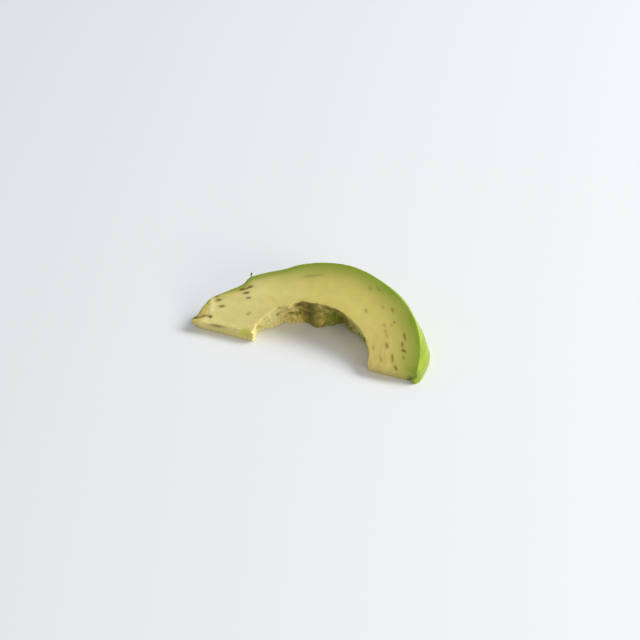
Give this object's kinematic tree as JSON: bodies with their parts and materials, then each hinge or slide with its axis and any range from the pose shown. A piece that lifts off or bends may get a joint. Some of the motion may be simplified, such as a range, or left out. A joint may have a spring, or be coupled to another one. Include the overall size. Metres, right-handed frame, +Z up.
{
  "type": "avocado slice",
  "caption": "Peeled avocado wedge cut lengthwise, with a hollow where the pit lay, resting on its lower cut face.",
  "frame": {"origin": "middle of the footprint's box, on the plane that the slice rests on", "axes": "+X along the fruit from the stem end to the blossom end, +Y out towards the peeled skin side, +Z up"},
  "size_m": [0.103, 0.0418, 0.0292],
  "materials": {
    "avocado_flesh": "moist satin flesh, stated in linear colour"
  },
  "bodies": {
    "root": {"avocado_slice": "avocado_flesh"}
  },
  "joints": []
}
